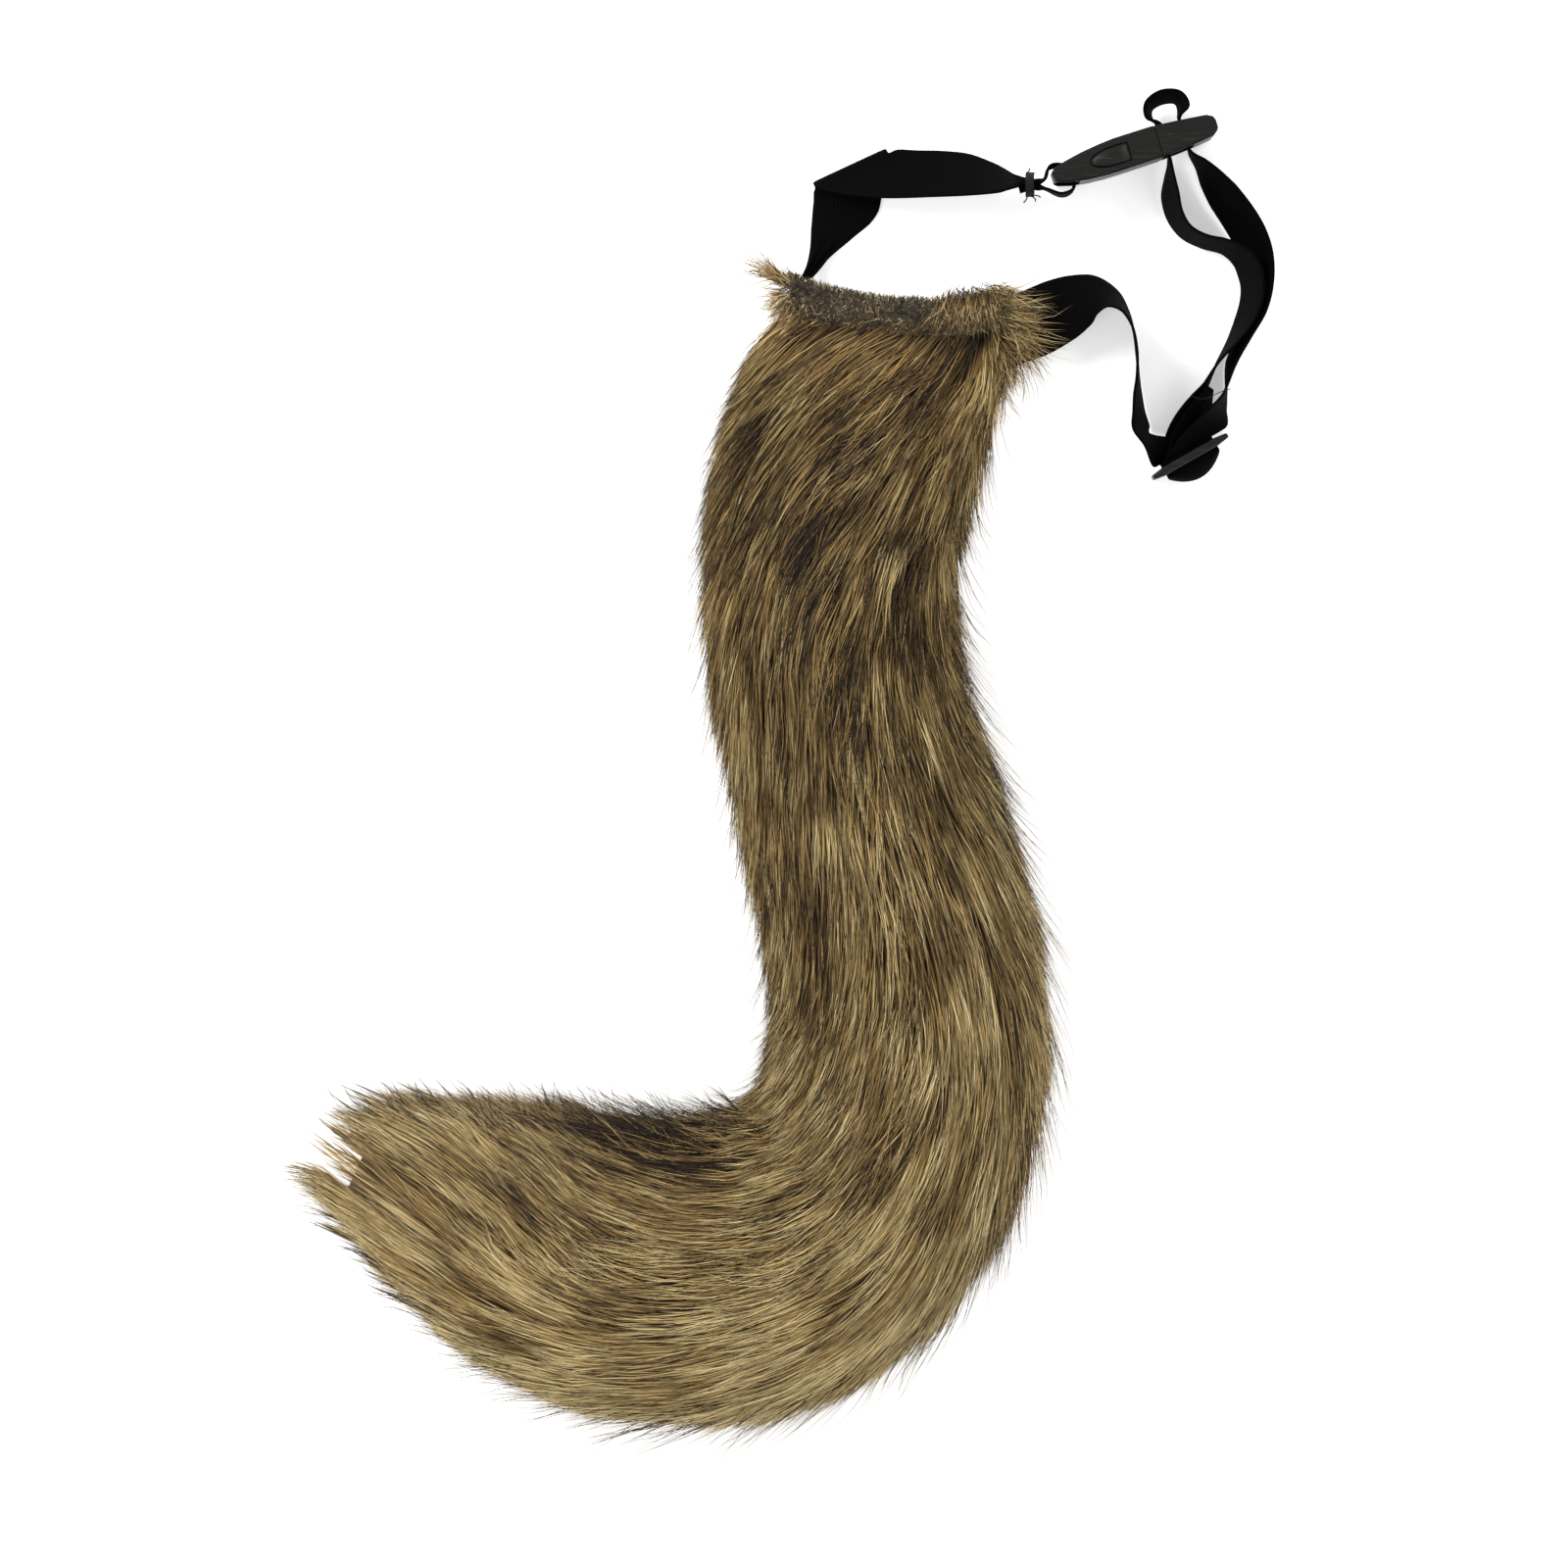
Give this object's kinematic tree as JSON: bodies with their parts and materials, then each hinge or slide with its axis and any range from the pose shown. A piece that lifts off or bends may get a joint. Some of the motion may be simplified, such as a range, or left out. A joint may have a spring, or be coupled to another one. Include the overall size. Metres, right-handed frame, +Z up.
{
  "type": "costume animal tail on a waist strap",
  "caption": "Stuffed long-pile costume tail lying in a J-curve, with a short-pile top band and an elastic waist strap closed by a side-release buckle and a slider.",
  "frame": {"origin": "under the middle of the whole box, on the floor that the tail lies on", "axes": "+Z up from the floor, +Y from the tail's bend towards the waist strap, +X to the side that the slider lies on"},
  "size_m": [0.406, 0.5458, 0.0648],
  "materials": {
    "fur": "long brown faux fur with tan and near-black hairs",
    "short_pile": "short curly grey-brown pile",
    "elastic_strap": "black woven elastic with a fine selvedge",
    "black_plastic": "satin black moulded plastic",
    "thread": "black sewing thread wound tight"
  },
  "bodies": {
    "root": {"fur_tail": "fur", "hem_band": "short_pile", "strap_left": "elastic_strap", "strap_right": "elastic_strap", "buckle_socket": "black_plastic", "buckle_plug": "black_plastic", "slider": "black_plastic", "thread_tie": "thread"}
  },
  "joints": []
}
